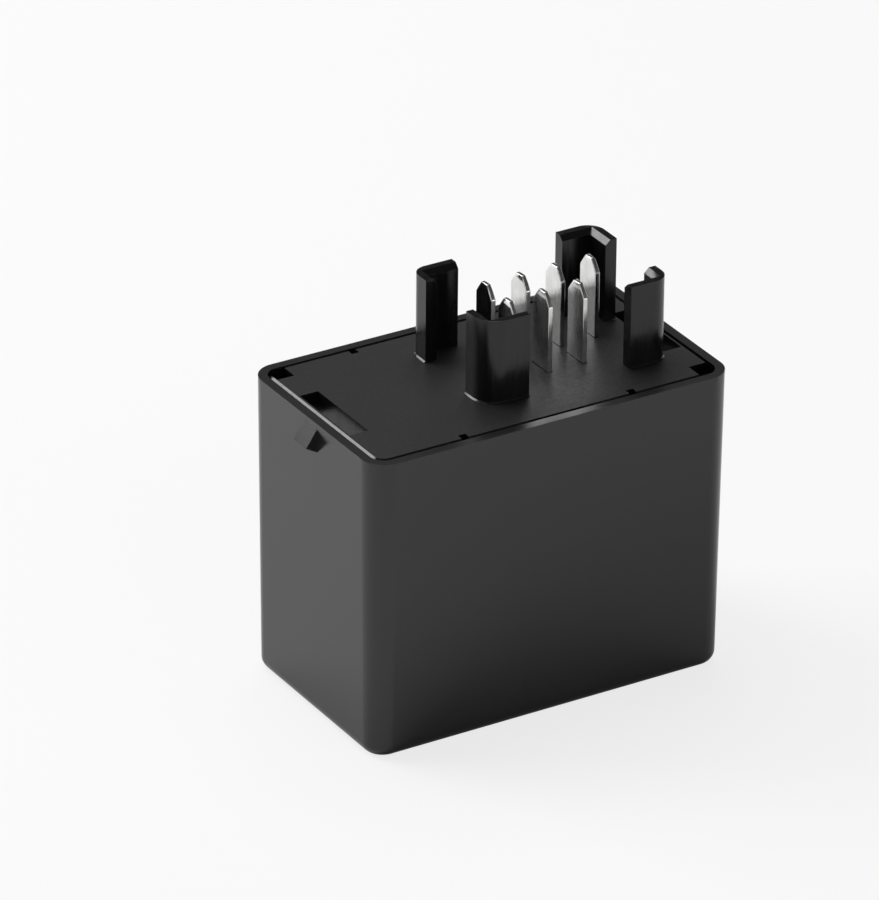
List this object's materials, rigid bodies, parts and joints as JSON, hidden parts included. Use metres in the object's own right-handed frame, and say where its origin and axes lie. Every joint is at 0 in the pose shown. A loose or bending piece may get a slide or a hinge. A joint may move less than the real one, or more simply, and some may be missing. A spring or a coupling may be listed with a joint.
{
  "type": "automotive relay",
  "caption": "Plug-in vehicle relay unit: a black moulded cover closed by a base plate with bevelled blade terminals standing inside corner guards.",
  "frame": {"origin": "middle of the cover's closed end, on the surface that the unit stands on", "axes": "+X along the long side towards the end where the blades stand, +Y towards the row of four blades, +Z out of the closed end towards the blades"},
  "size_m": [0.0424, 0.0238, 0.0405],
  "materials": {
    "cover_plastic": "black glass-filled nylon, satin to semi-gloss moulded skin",
    "base_plastic": "black moulded plastic, slightly duller than the cover",
    "tinned_brass": "tin-plated brass, soft bright",
    "circuit_board": "glass epoxy board under green resist",
    "solder": "bright solder",
    "bobbin_plastic": "natural moulded nylon",
    "enamelled_wire": "close-wound enamelled copper wire",
    "plated_iron": "soft iron, dull nickel plated",
    "spring_copper": "beryllium copper strip",
    "contact_silver": "silver alloy",
    "spring_steel": "spring steel wire",
    "braid_copper": "bare copper braid",
    "strip_brass": "rolled brass strip",
    "capacitor_sleeve": "shrunk vinyl sleeve",
    "chip_resin": "black moulding resin",
    "chip_ceramic": "ceramic chip with dark glaze",
    "diode_resin": "black moulding resin",
    "shunt_alloy": "bare resistance alloy wire"
  },
  "bodies": {
    "unit": {"cover": "cover_plastic", "base": "base_plastic", "terminal_1": "tinned_brass", "terminal_2": "tinned_brass", "terminal_3": "tinned_brass", "terminal_4": "tinned_brass", "terminal_5": "tinned_brass", "terminal_6": "tinned_brass", "terminal_7": "tinned_brass", "circuit_board": "circuit_board", "terminal_solder": "solder", "flasher_bobbin": "bobbin_plastic", "flasher_winding": "enamelled_wire", "flasher_coil_pins": "tinned_brass", "flasher_core": "plated_iron", "flasher_yoke": "plated_iron", "flasher_return_spring": "spring_steel", "flasher_flex_lead": "braid_copper", "flasher_open_strip": "strip_brass", "flasher_open_contact": "contact_silver", "flasher_rest_strip": "strip_brass", "flasher_rest_contact": "contact_silver", "stand_bobbin": "bobbin_plastic", "stand_winding": "enamelled_wire", "stand_coil_pins": "tinned_brass", "stand_core": "plated_iron", "stand_yoke": "plated_iron", "stand_return_spring": "spring_steel", "stand_flex_lead": "braid_copper", "stand_open_strip": "strip_brass", "stand_open_contact": "contact_silver", "stand_rest_strip": "strip_brass", "stand_rest_contact": "contact_silver", "timing_capacitor": "capacitor_sleeve", "flasher_chip": "chip_resin", "chip_resistors": "chip_ceramic", "blocking_diode": "diode_resin", "current_shunt": "shunt_alloy"},
    "flasher_armature_set": {"flasher_armature": "plated_iron", "flasher_leaf": "spring_copper", "flasher_moving_contact": "contact_silver"},
    "stand_armature_set": {"stand_armature": "plated_iron", "stand_leaf": "spring_copper", "stand_moving_contact": "contact_silver"}
  },
  "joints": [
    {"name": "flasher_armature_hinge", "type": "hinge", "parent": "unit", "child": "flasher_armature_set", "pos_m": [-0.0114, 0.00705, 0.00755], "axis": [-1, 0, 0], "range_deg": [0, 4], "stiffness_Nm_per_rad": 0.002, "springref_deg": -2.86, "deforming": ["flasher_return_spring", "flasher_flex_lead"]},
    {"name": "stand_armature_hinge", "type": "hinge", "parent": "unit", "child": "stand_armature_set", "pos_m": [0.0114, 0.00705, 0.00755], "axis": [-1, 0, 0], "range_deg": [0, 4], "stiffness_Nm_per_rad": 0.002, "springref_deg": -2.86, "deforming": ["stand_return_spring", "stand_flex_lead"]}
  ]
}
